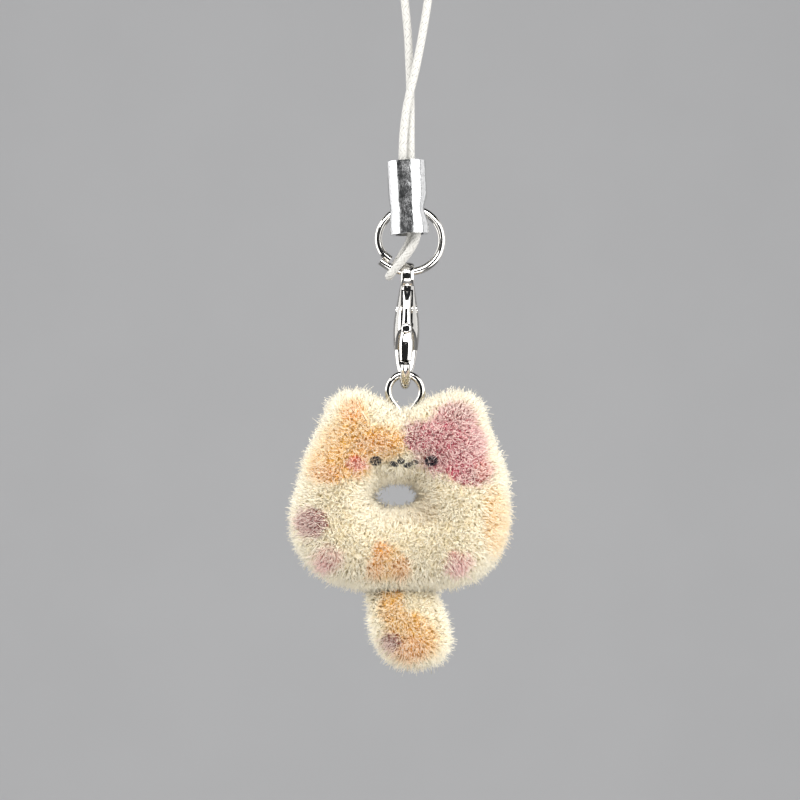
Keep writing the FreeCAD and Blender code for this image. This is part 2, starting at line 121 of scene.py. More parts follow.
class Ink(Enum):
    """Colours painted on the moulded body, under the flock, with one painted shade for the hollow
    round the hole.
    """

    CREAM = srgb(255, 240, 202)
    ORANGE = srgb(255, 200, 82)
    AMBER = srgb(255, 178, 40)
    MAUVE = srgb(216, 104, 122)
    PLUM = srgb(168, 24, 38)
    BLUSH = srgb(238, 104, 76)
    PAD = srgb(244, 146, 152)
    # Painted shade: a darker yellow beige standing in for the shading in the hollow round the
    # hole
    PAINTED_SHADE = srgb(216, 184, 120)
    EYE = srgb(18, 26, 44)


@dataclass(frozen=True)
class Patch:
    """One soft-edged painted ellipsoid of the pattern, in millimetres.

    Attributes:
        ink: its colour.
        centre: x, y and z from the cat's middle.
        radii: its half sizes.
        turn: how far it's turned in the picture plane, in degrees.
        edge: share of its radius over which it fades.
        strength: how much of the colour below it covers.
    """

    ink: Ink
    centre: Triple
    radii: Triple
    turn: float = 0.0
    edge: float = 0.35
    strength: float = 1.0


def front(ink: Ink, x: float, z: float, half_x: float, half_z: float, **more: float) -> Patch:
    """Gives a patch on the face side only.

    Args:
        ink: its colour.
        x: its middle to the right of the cat's.
        z: its middle above the cat's.
        half_x: its half width.
        half_z: its half height.
        **more: other fields of the patch.

    Returns:
        The patch.
    """
    return Patch(ink, (x, -6.0, z), (half_x, 9.0, half_z), **more)


# The calico patches, with two patches of painted shade round the hole
PATTERN_AND_SHADE = [
    # Painted shade: a darker beige in the hollow round the hole and below it on the right
    front(Ink.PAINTED_SHADE, -0.1, -0.6, 3.6, 2.5, edge=0.6, strength=0.55),
    front(Ink.PAINTED_SHADE, 2.0, -1.6, 1.8, 1.4, edge=0.8, strength=0.6),
    front(Ink.ORANGE, -4.66, 7.22, 1.35, 1.60),
    front(Ink.ORANGE, -5.04, 4.84, 2.75, 2.25),
    front(Ink.ORANGE, -2.19, 4.84, 2.45, 1.55),
    front(Ink.ORANGE, -6.84, 2.66, 2.15, 1.75),
    front(Ink.ORANGE, -4.85, 2.85, 1.60, 1.40),
    front(Ink.AMBER, -4.75, 7.69, 0.95, 0.90, edge=0.8, strength=0.8),
    front(Ink.AMBER, -2.66, 4.75, 1.90, 0.90, edge=0.8, strength=0.6),
    front(Ink.AMBER, -7.22, 1.90, 1.40, 0.85, edge=0.8, strength=0.7),
    front(Ink.MAUVE, 4.84, 6.65, 2.00, 1.80, edge=0.25),
    front(Ink.MAUVE, 3.32, 5.32, 3.00, 1.60, edge=0.25),
    front(Ink.MAUVE, 5.98, 4.18, 1.80, 2.95, edge=0.25),
    front(Ink.MAUVE, 6.27, 2.28, 2.00, 1.45, edge=0.25),
    front(Ink.MAUVE, 1.33, 5.32, 1.25, 1.30, edge=0.25),
    front(Ink.MAUVE, 3.89, 3.23, 2.00, 1.30, edge=0.25),
    front(Ink.PLUM, 5.22, 7.60, 1.45, 0.85, edge=0.8, strength=0.7),
    front(Ink.PLUM, 0.85, 5.79, 0.85, 0.85, edge=0.8, strength=0.7),
    front(Ink.PLUM, 2.18, 3.61, 1.25, 0.85, edge=0.8, strength=0.7),
    front(Ink.PLUM, 7.12, 1.71, 1.05, 0.90, edge=0.8, strength=0.7),
    front(Ink.BLUSH, -4.47, 2.94, 0.95, 0.70, edge=0.6, strength=0.9),
    front(Ink.BLUSH, 7.41, 2.28, 0.75, 0.85, edge=0.8, strength=0.6),
    front(Ink.PLUM, -8.55, -2.73, 1.50, 1.40, edge=0.3),
    front(Ink.PAD, -7.03, -5.99, 1.35, 1.15, edge=0.7, strength=0.55),
    front(Ink.PAD, -7.41, -6.56, 0.75, 0.65, edge=0.6, strength=0.8),
    front(Ink.PAD, 4.84, -5.89, 0.60, 0.60, edge=0.6, strength=0.7),
    front(Ink.PAD, 5.89, -6.08, 0.60, 0.60, edge=0.6, strength=0.7),
    front(Ink.PAD, 4.37, -6.75, 0.50, 0.50, edge=0.6, strength=0.7),
    front(Ink.PAD, 5.22, -6.84, 0.85, 0.70, edge=0.5, strength=0.95),
    front(Ink.ORANGE, -1.52, -6.45, 1.60, 1.45, edge=0.5),
    front(Ink.AMBER, -2.10, -5.33, 0.80, 0.85, edge=0.7, strength=0.8),
    front(Ink.AMBER, -2.70, -7.00, 0.80, 0.95, edge=0.7, strength=0.8),
    front(Ink.AMBER, -0.19, -6.90, 0.95, 1.00, edge=0.7, strength=0.8),
    Patch(Ink.ORANGE, (8.6, -2.2, -2.85), (1.25, 3.8, 3.4), turn=4.0, edge=0.5, strength=0.8),
    Patch(Ink.ORANGE, (-3.4, 6.0, 4.6), (3.3, 9.0, 3.6), turn=20.0),
    Patch(Ink.AMBER, (-3.0, 6.0, 4.4), (1.9, 9.0, 2.0), edge=0.9, strength=0.6),
    Patch(Ink.MAUVE, (5.4, 6.0, -3.4), (3.0, 9.0, 2.7), turn=-25.0, edge=0.25),
    Patch(Ink.ORANGE, (1.2, 6.0, -13.2), (2.0, 9.0, 2.2)),
    front(Ink.ORANGE, -1.05, -10.64, 1.30, 2.10),
    front(Ink.ORANGE, 0.47, -13.11, 2.30, 2.00),
    front(Ink.ORANGE, 1.99, -13.97, 1.40, 1.70),
    front(Ink.AMBER, 0.66, -14.82, 1.75, 1.25, edge=0.6),
    front(Ink.PLUM, -0.95, -14.06, 1.00, 0.90, edge=0.5, strength=0.9),
]

# The eyes and mouth, printed on the fibres
MARKS = [
    front(Ink.EYE, -2.59, 3.13, 0.58, 0.48, edge=0.3),
    front(Ink.EYE, 2.68, 3.13, 0.66, 0.54, edge=0.3),
    front(Ink.EYE, -0.86, 2.85, 0.46, 0.26, turn=-20.0, edge=0.3),
    front(Ink.EYE, -0.19, 3.13, 0.38, 0.30, edge=0.3),
    front(Ink.EYE, 0.47, 2.75, 0.44, 0.26, turn=15.0, edge=0.3),
    front(Ink.EYE, 1.14, 2.99, 0.36, 0.26, edge=0.3, strength=0.8),
]


class Sheet:
    """A node tree that is written node by node."""

    def __init__(self, tree: bpy.types.NodeTree) -> None:
        """Starts on a node tree, which it empties."""
        self.tree = tree
        self.tree.nodes.clear()

    def add(self, kind: str, inputs: Optional[dict] = None, **settings: Any) -> bpy.types.Node:
        """Adds a node.

        Args:
            kind: the node's type name without its ShaderNode prefix.
            inputs: socket name or number to a constant or to an output socket.
            **settings: the node's own properties.

        Returns:
            The node.
        """
        node = self.tree.nodes.new("ShaderNode" + kind)
        for name, value in settings.items():
            setattr(node, name, value)
        for key, value in (inputs or {}).items():
            self.feed(node.inputs[key], value)
        return node

    def feed(self, socket: bpy.types.NodeSocket, value: Any) -> None:
        """Sets a socket to a constant, or joins an output socket to it.

        Args:
            socket: the input socket.
            value: the constant or the output socket.
        """
        if isinstance(value, bpy.types.NodeSocket):
            self.tree.links.new(value, socket)
        else:
            socket.default_value = value

    def sum(self, operation: str, first: Any, second: Any = 0.5) -> bpy.types.NodeSocket:
        """Adds a maths node and gives its result."""
        return self.add("Math", {0: first, 1: second}, operation=operation).outputs[0]

    def vector(self, operation: str, first: Any, second: Any) -> bpy.types.NodeSocket:
        """Adds a vector maths node, or SCALE by a number, and gives its result."""
        other = "Scale" if operation == "SCALE" else 1
        return self.add("VectorMath", {0: first, other: second}, operation=operation).outputs[0]

    def mixed(self, share: Any, first: Any, second: Any,
              blend: str = "MIX") -> bpy.types.NodeSocket:
        """Mixes two colours.

        Args:
            share: how much of the second.
            first: the colour below.
            second: the colour above.
            blend: how they mix.

        Returns:
            The mixed colour.
        """
        node = self.add("Mix", data_type="RGBA", blend_type=blend)
        for socket, value in ((0, share), (6, first), (7, second)):
            self.feed(node.inputs[socket], value)
        return node.outputs[2]

    def ranged(self, value: Any, low: Any, high: Any, to_low: Any = 0.0,
               to_high: Any = 1.0) -> bpy.types.NodeSocket:
        """Maps a value smoothly from one range to another.

        Args:
            value: the value.
            low: where the first range starts.
            high: where it ends.
            to_low: where the second range starts.
            to_high: where it ends.

        Returns:
            The mapped value.
        """
        return self.add("MapRange", {0: value, 1: low, 2: high, 3: to_low, 4: to_high},
                        interpolation_type="SMOOTHSTEP").outputs[0]

    def attribute(self, name: str) -> bpy.types.Node:
        """Adds a node that reads one of the mesh's attributes."""
        return self.add("Attribute", attribute_name=name, attribute_type="GEOMETRY")

    def close(self, shader: bpy.types.Node) -> None:
        """Joins a shader to the material's output."""
        self.add("OutputMaterial", {"Surface": shader.outputs[0]})


def new_material(name: str) -> tuple[bpy.types.Material, Sheet]:
    """Starts a material.

    Args:
        name: its name.

    Returns:
        The material and the sheet of its nodes.
    """
    made = bpy.data.materials.new(name)
    made.use_nodes = True
    return made, Sheet(made.node_tree)


def group(name: str, inputs: dict[str, str], outputs: dict[str, str]) -> tuple:
    """Starts a shader node group.

    Args:
        name: the group's name.
        inputs: socket name to its type.
        outputs: socket name to its type.

    Returns:
        The group, its sheet, its input node's outputs and its output node's inputs.
    """
    tree = bpy.data.node_groups.new(name, "ShaderNodeTree")
    for way, sockets in (("INPUT", inputs), ("OUTPUT", outputs)):
        for label, kind in sockets.items():
            tree.interface.new_socket(label, in_out=way, socket_type="NodeSocket" + kind)
    sheet = Sheet(tree)
    given = tree.nodes.new("NodeGroupInput")
    result = tree.nodes.new("NodeGroupOutput")
    return tree, sheet, given.outputs, result.inputs


def speckle_group() -> bpy.types.NodeTree:
    """Builds the group that darkens a colour where a value is low.

    Returns:
        The group. It multiplies the colour by Dark at Low and by 1 at High.
    """
    tree, sheet, given, result = group(
        "Speckle",
        {"Color": "Color", "Value": "Float", "Low": "Float", "High": "Float", "Dark": "Float"},
        {"Color": "Color"})
    light = sheet.ranged(given["Value"], given["Low"], given["High"], given["Dark"])
    grey = sheet.add("CombineColor", {0: light, 1: light, 2: light})
    sheet.feed(result["Color"], sheet.mixed(1.0, given["Color"], grey.outputs[0], "MULTIPLY"))
    return tree


def patch_group() -> bpy.types.NodeTree:
    """Builds the group that masks one soft-edged ellipsoid."""
    tree, sheet, given, result = group(
        "SoftPatch",
        {"Place": "Vector", "Centre": "Vector", "Radii": "Vector", "Turn": "Float",
         "Edge": "Float", "Strength": "Float"},
        {"Mask": "Float"})
    away = sheet.vector("SUBTRACT", given["Place"], given["Centre"])
    turned = sheet.add("VectorRotate", {"Vector": away, "Angle": given["Turn"]},
                       rotation_type="Y_AXIS")
    scaled = sheet.vector("DIVIDE", turned.outputs[0], given["Radii"])
    reach = sheet.add("VectorMath", {0: scaled}, operation="LENGTH").outputs["Value"]
    half_edge = sheet.sum("MULTIPLY", given["Edge"], 0.5)
    low, high = sheet.sum("SUBTRACT", 1.0, half_edge), sheet.sum("ADD", 1.0, half_edge)
    mask = sheet.sum("SUBTRACT", 1.0, sheet.ranged(reach, low, high))
    sheet.feed(result["Mask"], sheet.sum("MULTIPLY", mask, given["Strength"]))
    return tree


def pattern_group(name: str, patch: bpy.types.NodeTree, pieces: list[Patch],
                  ripples: float) -> bpy.types.NodeTree:
    """Builds a group that lays painted patches over a colour at a place in metres.

    Args:
        name: the group's name.
        patch: the group that masks one patch.
        pieces: the patches, from the lowest up.
        ripples: how far the patches' edges wander, in millimetres.

    Returns:
        The group, with the painted colour and how much of it the patches cover.
    """
    tree, sheet, given, result = group(name, {"Place": "Vector", "Below": "Color"},
                                       {"Color": "Color", "Cover": "Float"})
    away = sheet.vector("SUBTRACT", given["Place"], CAT_CENTRE)
    local = sheet.vector("SCALE", away, 1 / MM)
    ripple = sheet.add("TexNoise", {"Vector": local, "Scale": 1.6, "Detail": 3.0})
    centred = sheet.vector("SUBTRACT", ripple.outputs["Color"], (0.5, 0.5, 0.5))
    place = sheet.vector("ADD", local, sheet.vector("SCALE", centred, ripples))
    colour, cover = given["Below"], 0.0
    for piece in pieces:
        node = sheet.add("Group", node_tree=patch)
        for label, value in (("Place", place), ("Centre", piece.centre),
                             ("Radii", piece.radii), ("Turn", math.radians(piece.turn)),
                             ("Edge", piece.edge), ("Strength", piece.strength)):
            sheet.feed(node.inputs[label], value)
        colour = sheet.mixed(node.outputs["Mask"], colour, piece.ink.value)
        cover = sheet.sum("MAXIMUM", cover, node.outputs["Mask"])
    sheet.feed(result["Color"], colour)
    sheet.feed(result["Cover"], cover)
    return tree


@dataclass(frozen=True)
class Effects:
    """The shader node groups that more than one material uses.

    Attributes:
        speckle: darkens a colour where a value is low.
        patches: the cat's painted patches, with the painted shade round the hole.
        marks: the cat's eyes and mouth.
    """

    speckle: bpy.types.NodeTree
    patches: bpy.types.NodeTree
    marks: bpy.types.NodeTree

    @classmethod
    def built(cls) -> "Effects":
        """Builds the groups, each one once."""
        patch = patch_group()
        return cls(speckle_group(), pattern_group("CalicoAndShade", patch, PATTERN_AND_SHADE, 0.55),
                   pattern_group("Marks", patch, MARKS, 0.15))

    def laid(self, sheet: Sheet, tree: bpy.types.NodeTree, place: bpy.types.NodeSocket,
             below: Any) -> tuple[bpy.types.NodeSocket, bpy.types.NodeSocket]:
        """Adds one of the patterns to a sheet.

        Args:
            sheet: the material's sheet.
            tree: the pattern's group.
            place: the output socket that gives the place, in metres.
            below: the colour under the pattern.

        Returns:
            The group's colour and its cover.
        """
        node = sheet.add("Group", node_tree=tree)
        sheet.feed(node.inputs["Place"], place)
        sheet.feed(node.inputs["Below"], below)
        return node.outputs["Color"], node.outputs["Cover"]

    def speckled(self, sheet: Sheet, colour: Any, value: bpy.types.NodeSocket, low: float,
                 high: float, dark: float) -> bpy.types.NodeSocket:
        """Adds the speckle to a sheet.

        Args:
            sheet: the material's sheet.
            colour: the colour to darken.
            value: the value that says where.
            low: the value that is darkened most.
            high: the value from which nothing is.
            dark: what the colour is multiplied by at most.

        Returns:
            The speckled colour.
        """
        node = sheet.add("Group", node_tree=self.speckle)
        for label, fed in (("Color", colour), ("Value", value), ("Low", low), ("High", high),
                           ("Dark", dark)):
            sheet.feed(node.inputs[label], fed)
        return node.outputs["Color"]


@dataclass(frozen=True)
class Flock:
    """Fine whitish fibres that take most of the paint's colour at their roots, as painted bounce
    light and shade from the paint below.

    Attributes:
        name: the material's name.
        tip: the fibres' own colour.
        painted_bounce_root: share of the paint's colour at the root, painted bounce light and
            shade.
        painted_bounce_tip: share of it at the tip, painted bounce light.
        dimmest: brightness of the darkest fibres.
    """

    name: str = "flock_fibre"
    tip: Colour = srgb(255, 250, 236)
    painted_bounce_root: float = 0.96
    painted_bounce_tip: float = 0.32
    dimmest: float = 0.93

    def material(self, effects: Effects) -> bpy.types.Material:
        """Gives the fibres' material.

        Args:
            effects: the shared node groups.

        Returns:
            The material.
        """
        made, sheet = new_material(self.name)
        root = sheet.attribute("root").outputs["Vector"]
        along = sheet.attribute("along").outputs["Fac"]
        shade = sheet.attribute("shade").outputs["Fac"]
        painted, _ = effects.laid(sheet, effects.patches, root, Ink.CREAM.value)
        # Painted bounce light and shade: the fibres take the paint's colour near their roots and
        # whiten towards their tips
        share = sheet.ranged(along, 0.0, 1.0, self.painted_bounce_root, self.painted_bounce_tip)
        colour = sheet.mixed(share, self.tip, painted)
        place = sheet.add("TexCoord").outputs["Object"]
        _, cover = effects.laid(sheet, effects.marks, place, colour)
        # A few fibres in the eyes and mouth stay without ink
        inked = sheet.ranged(shade, 0.2, 0.4, 0.0, 0.95)
        colour = sheet.mixed(sheet.sum("MULTIPLY", inked, cover), colour, Ink.EYE.value)
        colour = effects.speckled(sheet, colour, shade, 0.0, 1.0, self.dimmest)
        sheet.close(sheet.add("BsdfPrincipled", {"Base Color": colour, "Roughness": 0.62,
                                                 "Specular IOR Level": 0.35}))
        return made


@dataclass(frozen=True)
class PaintedPlastic:
    """The moulded body's paint, seen between the fibres.

    Attributes:
        name: the material's name.
        grain: scale of its specks, in specks a metre.
        relief: height of its specks, in metres.
        dimmest: brightness of the darkest specks.
    """

    name: str = "painted_plastic"
    grain: float = 9000.0
    relief: float = 0.00002
    dimmest: float = 0.82

    def material(self, effects: Effects) -> bpy.types.Material:
        """Gives the paint's material.

        Args:
            effects: the shared node groups.

        Returns:
            The material.
        """
        made, sheet = new_material(self.name)
        place = sheet.add("TexCoord").outputs["Object"]
        painted, _ = effects.laid(sheet, effects.patches, place, Ink.CREAM.value)
        painted, _ = effects.laid(sheet, effects.marks, place, painted)
        speck = sheet.add("TexNoise", {"Vector": place, "Scale": self.grain,
                                       "Detail": 2.0}).outputs["Fac"]
        colour = effects.speckled(sheet, painted, speck, 0.3, 0.7, self.dimmest)
        bump = sheet.add("Bump", {"Height": speck, "Strength": 0.4, "Distance": self.relief})
        sheet.close(sheet.add("BsdfPrincipled", {"Base Color": colour, "Roughness": 0.7,
                                                 "Normal": bump.outputs[0]}))
        return made


@dataclass(frozen=True)
class Metal:
    """A metal finish with fine marks.

    Attributes:
        name: the material's name.
        colour: its reflected colour.
        roughness: its smoothest and roughest.
        grain: scale of its marks along x, y and z, in marks a metre.
        relief: height of its marks, in metres.
        dark: how dark its marks are.
    """

    name: str
    colour: Colour
    roughness: tuple[float, float]
    grain: Triple
    relief: float
    dark: float

    def material(self, effects: Effects) -> bpy.types.Material:
        """Gives the metal's material.

        Args:
            effects: the shared node groups.

        Returns:
            The material.
        """
        made, sheet = new_material(self.name)
        place = sheet.add("TexCoord").outputs["Object"]
        stretched = sheet.vector("MULTIPLY", place, self.grain)
        marks = sheet.add("TexNoise", {"Vector": stretched, "Scale": 1.0, "Detail": 5.0,
                                       "Roughness": 0.6}).outputs["Fac"]
        cloud = sheet.add("TexNoise", {"Vector": place, "Scale": 900.0,
                                       "Detail": 3.0}).outputs["Fac"]
        rough = sheet.ranged(sheet.sum("MULTIPLY", marks, cloud), 0.12, 0.42, *self.roughness)
        colour = effects.speckled(sheet, self.colour, marks, 0.3, 0.62, 1.0 - self.dark)
        bump = sheet.add("Bump", {"Height": marks, "Strength": 0.6, "Distance": self.relief})
        sheet.close(sheet.add("BsdfPrincipled", {"Base Color": colour, "Metallic": 1.0,
                                                 "Roughness": rough,
                                                 "Normal": bump.outputs[0]}))
        return made


@dataclass(frozen=True)
class BraidedNylon:
    """The cord's finish: pale yarns, with painted shade in the gaps between them.

    Attributes:
        name: the material's name.
        yarn: the yarns' colour.
        gap_shade: the painted shade between the yarns.
        fluff: scale of the fine fibres round and along the cord.
        relief: height of the fine fibres, in metres.
    """

    name: str = "braided_nylon"
    yarn: Colour = srgb(192, 190, 184)
    gap_shade: Colour = srgb(112, 109, 103)
    fluff: Triple = (60.0, 9000.0, 0.0)
    relief: float = 0.00003

    def material(self) -> bpy.types.Material:
        """Gives the cord's material.

        Returns:
            The material.
        """
        made, sheet = new_material(self.name)
        height = sheet.attribute("relief").outputs["Fac"]
        lines = sheet.add("UVMap", uv_map="OFBake").outputs["UV"]
        fluff = sheet.add("TexNoise", {"Vector": sheet.vector("MULTIPLY", lines, self.fluff),
                                       "Scale": 1.0, "Detail": 3.0}).outputs["Fac"]
        lit = sheet.sum("ADD", height, sheet.sum("MULTIPLY", fluff, 0.3))
        # Painted shade: the colour darkens where the braid is low, between the yarns
        colour = sheet.mixed(sheet.ranged(lit, 0.25, 0.85), self.gap_shade, self.yarn)
        bump = sheet.add("Bump", {"Height": lit, "Strength": 0.5, "Distance": self.relief})
        sheet.close(sheet.add("BsdfPrincipled", {"Base Color": colour, "Roughness": 0.55,
                                                 "Sheen Weight": 0.25,
                                                 "Normal": bump.outputs[0]}))
        return made


def unit(vectors: np.ndarray) -> np.ndarray:
    """Gives each vector a length of one."""
    return vectors / np.linalg.norm(vectors, axis=-1, keepdims=True)


def new_object(name: str, mesh: bpy.types.Mesh) -> bpy.types.Object:
    """Puts a mesh in the scene and gives its object."""
    made = bpy.data.objects.new(name, mesh)
    bpy.context.scene.collection.objects.link(made)
    return made


def mesh_from(name: str, points: np.ndarray, faces: np.ndarray) -> bpy.types.Mesh:
    """Makes a mesh from arrays.

    Args:
        name: the mesh's name.
        points: n by 3 array of places.
        faces: m by k array of point numbers.

    Returns:
        The mesh.
    """
    mesh = bpy.data.meshes.new(name)
    count, sides = faces.shape
    mesh.vertices.add(len(points))
    mesh.vertices.foreach_set("co", points.astype(np.float32).ravel())
    mesh.loops.add(count * sides)
    mesh.loops.foreach_set("vertex_index", faces.astype(np.int32).ravel())
    mesh.polygons.add(count)
    mesh.polygons.foreach_set("loop_start", np.arange(0, count * sides, sides, dtype=np.int32))
    mesh.update(calc_edges=True)
    mesh.validate()
    return mesh


def add_values(mesh: bpy.types.Mesh, name: str, values: np.ndarray) -> None:
    """Gives a mesh an attribute with a value, or a vector, for each point.

    Args:
        mesh: the mesh.
        name: the attribute's name.
        values: the values or vectors, in the points' order.
    """
    kind, key = ("FLOAT", "value") if values.ndim == 1 else ("FLOAT_VECTOR", "vector")
    shown = mesh.attributes.new(name, kind, "POINT")
    shown.data.foreach_set(key, values.astype(np.float32).ravel())


def read_ints(items: Any, key: str) -> np.ndarray:
    """Reads a whole number from each of a mesh's loops or faces."""
    values = np.empty(len(items), np.int32)
    items.foreach_get(key, values)
    return values


def finish_node(name: str, material: bpy.types.Material) -> None:
    """Gives a CAD node its material.

    Args:
        name: the node's name.
        material: the material.
    """
    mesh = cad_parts[name].data
    mesh.materials.clear()
    mesh.materials.append(material)
    LOG.info("%s: finished as %s", name, material.name)


@dataclass
class StrapCord:
    """The braided cord of the strap, one length doubled into a loop.

    Attributes:
        finish: its finish.
        carriers: yarns that wind each way.
        sides: points round the tube.
        ring_step: distance between the tube's rings, in metres.
        relief: height of the braid, in metres.
        pitch_share: how far a yarn goes in one turn, in cord circumferences.
        roundness: power that flattens the yarns' tops.
        strips: strips of the flat layout.
        cap_radius: size of the caps in the flat layout.
    """

    finish: BraidedNylon = field(default_factory=BraidedNylon)
    carriers: int = 6
    sides: int = 30
    ring_step: float = 0.000085
    relief: float = 0.000045
    pitch_share: float = 1.15
    roundness: float = 0.6
    strips: int = 12
    cap_radius: float = 0.01

    def route_points(self) -> np.ndarray:
        """Reads the route's smooth spline, one open NURBS, as a line of points.

        Returns:
            The points, n by 3.
        """
        curve = bpy.data.curves.new("cord_route", "CURVE")
        curve.dimensions = "3D"
        curve.resolution_u = 64
        spline = curve.splines.new("NURBS")
        spline.points.add(len(CORD_ROUTE) - 1)
        for point, place in zip(spline.points, CORD_ROUTE):
            point.co = (*place, 1.0)
        spline.order_u = 3
        spline.use_endpoint_u = True
        holder = bpy.data.objects.new("cord_route", curve)
        line = bpy.data.meshes.new_from_object(holder)
        read = np.array([tuple(v.co) for v in line.vertices])
        bpy.data.objects.remove(holder)
        bpy.data.curves.remove(curve)
        bpy.data.meshes.remove(line)
        return read

    def centreline(self) -> tuple[np.ndarray, np.ndarray]:
        """Gives evenly spaced points along the route.

        Returns:
            The points, n by 3, and how far along the cord each one is.
        """
        read = self.route_points()
        steps = np.linalg.norm(np.diff(read, axis=0), axis=1)
        lengths = np.concatenate([[0.0], np.cumsum(steps)])
        wanted = np.linspace(0.0, lengths[-1], int(lengths[-1] / self.ring_step))
        return np.column_stack([np.interp(wanted, lengths, read[:, k]) for k in range(3)]), wanted

    def frames(self, line: np.ndarray) -> tuple[np.ndarray, np.ndarray]:
        """Carries two cross directions along the line without a twist.

        Args:
            line: the centreline's points.

        Returns:
            The side and the up direction at each point.
        """
        along = unit(np.gradient(line, axis=0))
        side = np.cross(along[0], (0.0, 1.0, 0.0))
        sides = []
        for direction in along:
            side = side - direction * side.dot(direction)
            side /= np.linalg.norm(side)
            sides.append(side)
        return np.array(sides), np.cross(along, sides)

    def braid(self, reach: np.ndarray) -> np.ndarray:
        """Works out the braid's height, as yarns that pass over and under.

        Args:
            reach: how far along the cord each ring is.

        Returns:
            The height from 0 to 1, rings by sides.
        """
        turns = np.arange(self.sides)[None, :] / self.sides
        lean = reach[:, None] / (math.pi * CORD_DIAMETER * self.pitch_share)
        first, second = (turns + lean) * self.carriers, (turns - lean) * self.carriers
        over = (np.floor(first) + np.floor(second)) % 2 == 0
        humps = np.where(over, np.abs(np.sin(math.pi * first)), np.abs(np.sin(math.pi * second)))
        return humps ** self.roundness

    def tube(self, line: np.ndarray, height: np.ndarray) -> bpy.types.Mesh:
        """Builds the braided tube round the centreline.

        Args:
            line: the centreline's points.
            height: the braid's height.

        Returns:
            The tube's mesh, closed at its ends.
        """
        sides, ups = self.frames(line)
        radius = CORD_DIAMETER / 2 - self.relief + self.relief * height
        angle = 2 * math.pi * np.arange(self.sides)[None, :, None] / self.sides
        points = (line[:, None, :] + radius[..., None]
                  * (np.cos(angle) * sides[:, None, :] + np.sin(angle) * ups[:, None, :]))
        grid = np.arange(len(line) * self.sides).reshape(len(line), self.sides)
        after = np.roll(grid, -1, axis=1)
        faces = np.stack([grid[:-1], after[:-1], after[1:], grid[1:]], axis=-1).reshape(-1, 4)
        mesh = mesh_from("strap_cord_braid", points.reshape(-1, 3), faces)
        self.close_ends(mesh)
        return mesh

    def close_ends(self, mesh: bpy.types.Mesh) -> None:
        """Caps the tube's two cut ends.

        Args:
            mesh: the tube's mesh.
        """
        work = bmesh.new()
        work.from_mesh(mesh)
        work.verts.ensure_lookup_table()
        count = len(work.verts)
        work.faces.new([work.verts[k] for k in reversed(range(self.sides))])
        work.faces.new([work.verts[k] for k in range(count - self.sides, count)])
        bmesh.ops.recalc_face_normals(work, faces=work.faces[:])
        work.to_mesh(mesh)
        work.free()

    def unwrap(self, mesh: bpy.types.Mesh, rows: int) -> None:
        """Lays the tube out flat, in strips that follow its length.

        Args:
            mesh: the tube's mesh.
            rows: how many rings it has.
        """
        verts = read_ints(mesh.loops, "vertex_index")
        ring = verts // self.sides
        turn = (verts % self.sides) / self.sides
        per_strip = math.ceil(rows / self.strips)
        place = np.zeros((len(verts), 2), np.float32)
        for start, total in zip(read_ints(mesh.polygons, "loop_start"),
                                read_ints(mesh.polygons, "loop_total")):
            span = slice(start, start + total)
            rings, turned = ring[span], turn[span].copy()
            if total > 4:
                angle = turned * 2 * math.pi
                middle = 0.25 if rings[0] == 0 else 0.75
                place[span, 0] = 0.985 + self.cap_radius * np.cos(angle)
                place[span, 1] = middle + self.cap_radius * np.sin(angle)
                continue
            if turned.max() - turned.min() > 0.5:
                turned[turned < 0.5] += 1.0
            strip = int(rings.min() // per_strip)
            place[span, 0] = (strip + 0.04 + 0.92 * turned) / self.strips * 0.97
            place[span, 1] = 0.01 + 0.98 * (rings - strip * per_strip) / per_strip
        mesh.uv_layers.new(name="OFBake").data.foreach_set("uv", place.ravel())

    def build(self) -> None:
        """Builds the cord."""
        line, reach = self.centreline()
        height = self.braid(reach)
        mesh = self.tube(line, height)
        cord = new_object("strap_cord_braid", mesh)
        add_values(mesh, "relief", height.ravel())
        self.unwrap(mesh, len(line))
        mesh.materials.append(self.finish.material())
        mesh.shade_smooth()
        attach(cord, "strap")
        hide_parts("strap_cord")
        LOG.info("%s: %d faces, %.1f mm long", cord.name, len(mesh.polygons), reach[-1] / MM)


